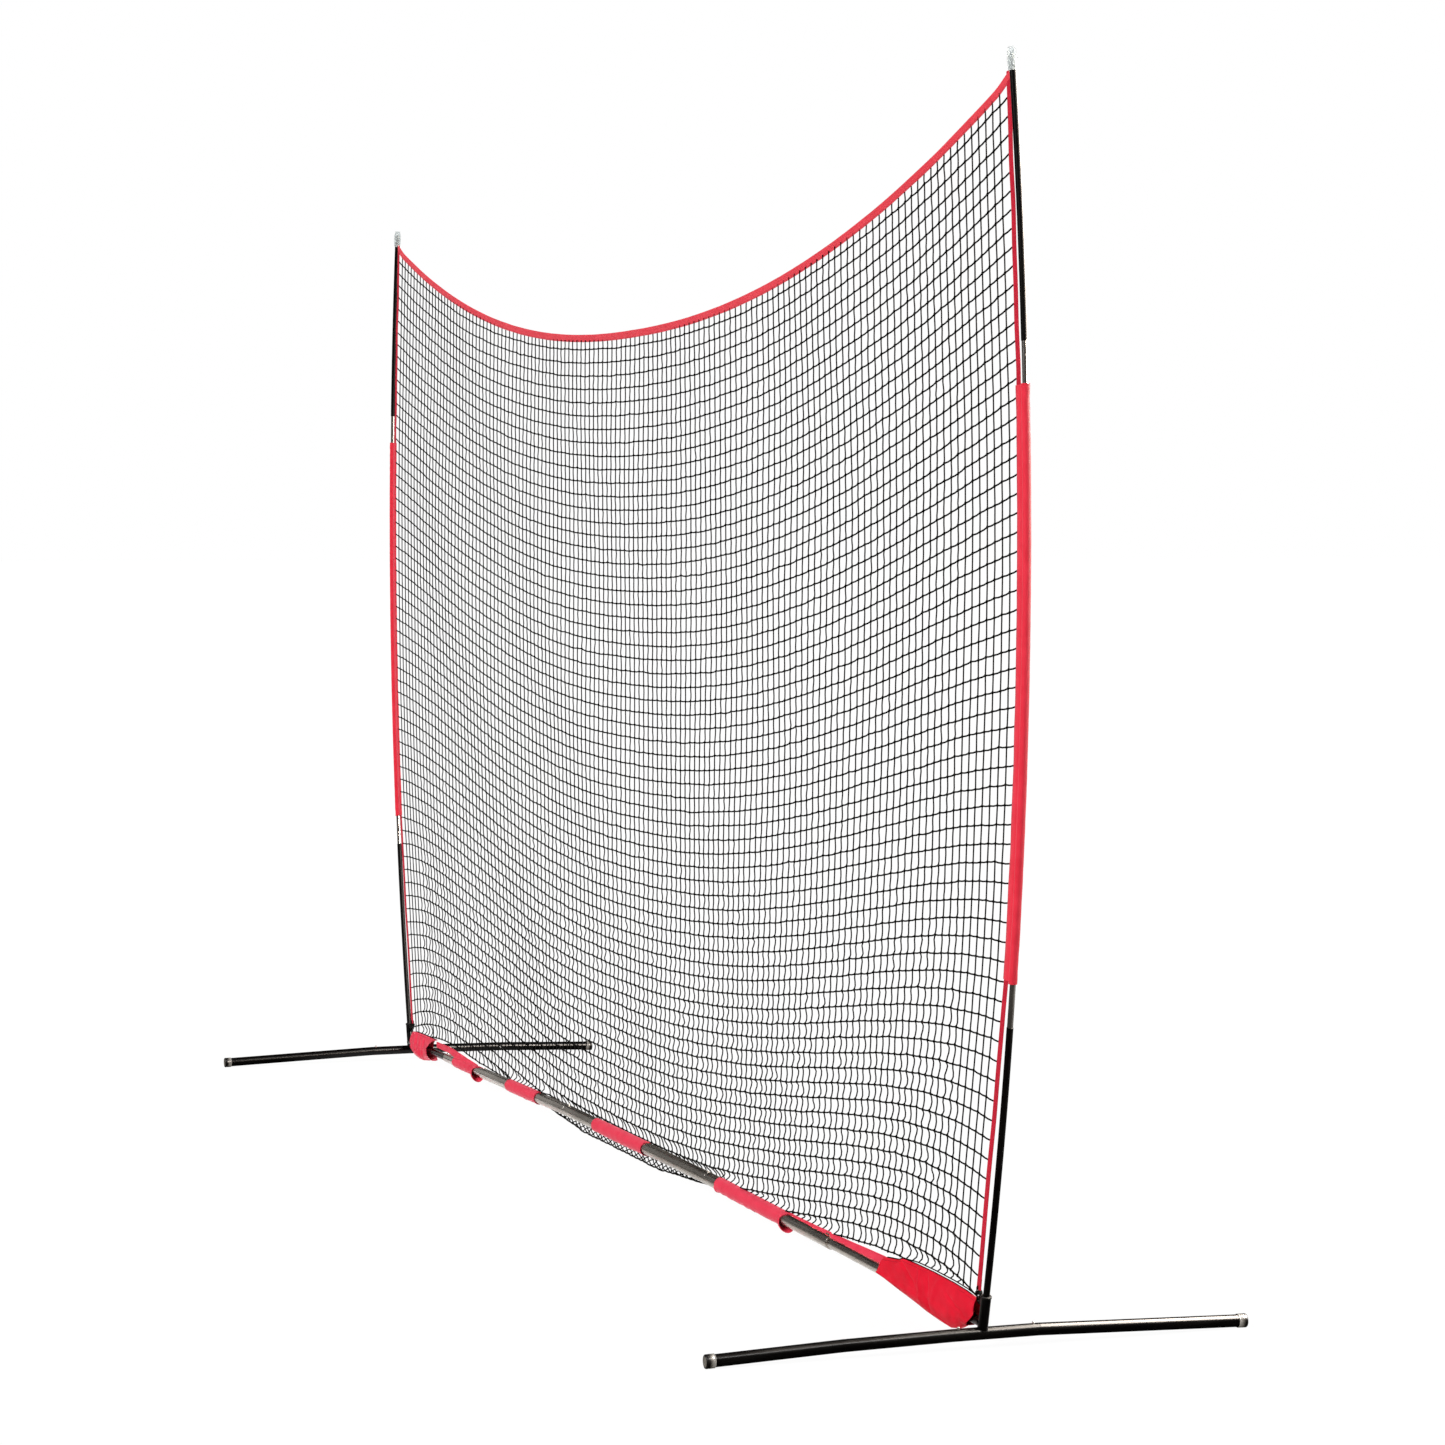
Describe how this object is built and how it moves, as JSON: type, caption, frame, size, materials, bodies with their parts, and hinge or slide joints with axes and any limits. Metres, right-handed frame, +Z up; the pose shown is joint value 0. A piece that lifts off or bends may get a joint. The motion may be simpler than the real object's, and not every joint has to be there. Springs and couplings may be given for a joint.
{
  "type": "portable barrier net",
  "caption": "Wide black practice net hung between two bowed poles on cross feet, with a jointed ground rail, red webbing edges and pole sleeves.",
  "frame": {"origin": "on the ground under the middle of the net", "axes": "+X along the net to its right end, +Y along the feet, +Z up"},
  "size_m": [6.0278, 1.45, 3.1694],
  "materials": {
    "foot_steel": "black powder-coated steel tube",
    "foot_cap": "grey moulded cap",
    "button_steel": "plated spring button",
    "rail_steel": "plated steel tube",
    "pole_black": "black coated pole tube",
    "pole_silver": "bare silver pole tube",
    "tip_plug": "grey moulded plug",
    "clear_vinyl": "clear vinyl sheet",
    "bush_nylon": "black nylon bush",
    "sleeve_cloth": "red woven polyester cloth",
    "webbing": "red woven webbing",
    "loop_cord": "black cord",
    "netting": "black knotted netting twine"
  },
  "bodies": {
    "frame_and_net": {"corner_loop_left": "loop_cord", "corner_loop_right": "loop_cord", "corner_pocket_left": "sleeve_cloth", "corner_pocket_right": "sleeve_cloth", "edge_tape_right": "webbing", "foot_hub_left": "foot_steel", "foot_hub_right": "foot_steel", "net_mesh": "netting", "pole_ferrule_left": "pole_silver", "pole_ferrule_right": "pole_silver", "pole_lower_left": "pole_black", "pole_lower_right": "pole_black", "pole_rod_lower_left": "pole_silver", "pole_rod_lower_right": "pole_silver", "pole_rod_upper_left": "pole_silver", "pole_rod_upper_right": "pole_silver", "pole_sleeve_left": "sleeve_cloth", "pole_sleeve_right": "sleeve_cloth", "pole_tip_plug_left": "tip_plug", "pole_tip_plug_right": "tip_plug", "pole_upper_left": "pole_black", "pole_upper_right": "pole_black", "rail_centre": "rail_steel", "rail_middle_left": "rail_steel", "rail_middle_right": "rail_steel", "rail_outer_left": "rail_steel", "rail_outer_right": "rail_steel", "rail_sleeve_centre": "sleeve_cloth", "rail_sleeve_left": "sleeve_cloth", "rail_sleeve_right": "sleeve_cloth", "rail_wrap_left": "sleeve_cloth", "side_webbing_left": "webbing", "side_webbing_right": "webbing", "socket_bush_left": "bush_nylon", "socket_bush_right": "bush_nylon", "split_leg_cap_left": "foot_cap", "split_leg_cap_right": "foot_cap", "split_leg_inner_left": "foot_steel", "split_leg_inner_right": "foot_steel", "split_leg_outer_left": "foot_steel", "split_leg_outer_right": "foot_steel", "tip_pocket_left": "clear_vinyl", "tip_pocket_right": "clear_vinyl", "top_binding": "webbing", "whole_leg_cap_left": "foot_cap", "whole_leg_cap_right": "foot_cap", "whole_leg_left": "foot_steel", "whole_leg_right": "foot_steel"},
    "button_arm_left": {"button_arm_left": "button_steel"},
    "button_arm_right": {"button_arm_right": "button_steel"},
    "button_hub_split_left": {"button_hub_split_left": "button_steel"},
    "button_hub_split_right": {"button_hub_split_right": "button_steel"},
    "button_hub_whole_left": {"button_hub_whole_left": "button_steel"},
    "button_hub_whole_right": {"button_hub_whole_right": "button_steel"},
    "button_rail_centre_left": {"button_rail_centre_left": "button_steel"},
    "button_rail_centre_right": {"button_rail_centre_right": "button_steel"},
    "button_rail_outer_left": {"button_rail_outer_left": "button_steel"},
    "button_rail_outer_right": {"button_rail_outer_right": "button_steel"},
    "button_split_leg_left": {"button_split_leg_left": "button_steel"},
    "button_split_leg_right": {"button_split_leg_right": "button_steel"}
  },
  "joints": [
    {"name": "press_arm_left", "type": "slide", "parent": "frame_and_net", "child": "button_arm_left", "axis": [0, 0, -1], "range_m": [0, 0.0062], "stiffness_N_per_m": 900, "springref_m": -0.003},
    {"name": "press_arm_right", "type": "slide", "parent": "frame_and_net", "child": "button_arm_right", "axis": [0, 0, -1], "range_m": [0, 0.0062], "stiffness_N_per_m": 900, "springref_m": -0.003},
    {"name": "press_hub_split_left", "type": "slide", "parent": "frame_and_net", "child": "button_hub_split_left", "axis": [0, 0, -1], "range_m": [0, 0.0062], "stiffness_N_per_m": 900, "springref_m": -0.003},
    {"name": "press_hub_split_right", "type": "slide", "parent": "frame_and_net", "child": "button_hub_split_right", "axis": [0, 0, -1], "range_m": [0, 0.0062], "stiffness_N_per_m": 900, "springref_m": -0.003},
    {"name": "press_hub_whole_left", "type": "slide", "parent": "frame_and_net", "child": "button_hub_whole_left", "axis": [0, 0, -1], "range_m": [0, 0.0062], "stiffness_N_per_m": 900, "springref_m": -0.003},
    {"name": "press_hub_whole_right", "type": "slide", "parent": "frame_and_net", "child": "button_hub_whole_right", "axis": [0, 0, -1], "range_m": [0, 0.0062], "stiffness_N_per_m": 900, "springref_m": -0.003},
    {"name": "press_rail_centre_left", "type": "slide", "parent": "frame_and_net", "child": "button_rail_centre_left", "axis": [0, 0, -1], "range_m": [0, 0.0062], "stiffness_N_per_m": 900, "springref_m": -0.003},
    {"name": "press_rail_centre_right", "type": "slide", "parent": "frame_and_net", "child": "button_rail_centre_right", "axis": [0, 0, -1], "range_m": [0, 0.0062], "stiffness_N_per_m": 900, "springref_m": -0.003},
    {"name": "press_rail_outer_left", "type": "slide", "parent": "frame_and_net", "child": "button_rail_outer_left", "axis": [0, 0, -1], "range_m": [0, 0.0062], "stiffness_N_per_m": 900, "springref_m": -0.003},
    {"name": "press_rail_outer_right", "type": "slide", "parent": "frame_and_net", "child": "button_rail_outer_right", "axis": [0, 0, -1], "range_m": [0, 0.0062], "stiffness_N_per_m": 900, "springref_m": -0.003},
    {"name": "press_split_leg_left", "type": "slide", "parent": "frame_and_net", "child": "button_split_leg_left", "axis": [-1, 0, 0], "range_m": [0, 0.0062], "stiffness_N_per_m": 900, "springref_m": -0.003},
    {"name": "press_split_leg_right", "type": "slide", "parent": "frame_and_net", "child": "button_split_leg_right", "axis": [1, 0, 0], "range_m": [0, 0.0062], "stiffness_N_per_m": 900, "springref_m": -0.003}
  ]
}
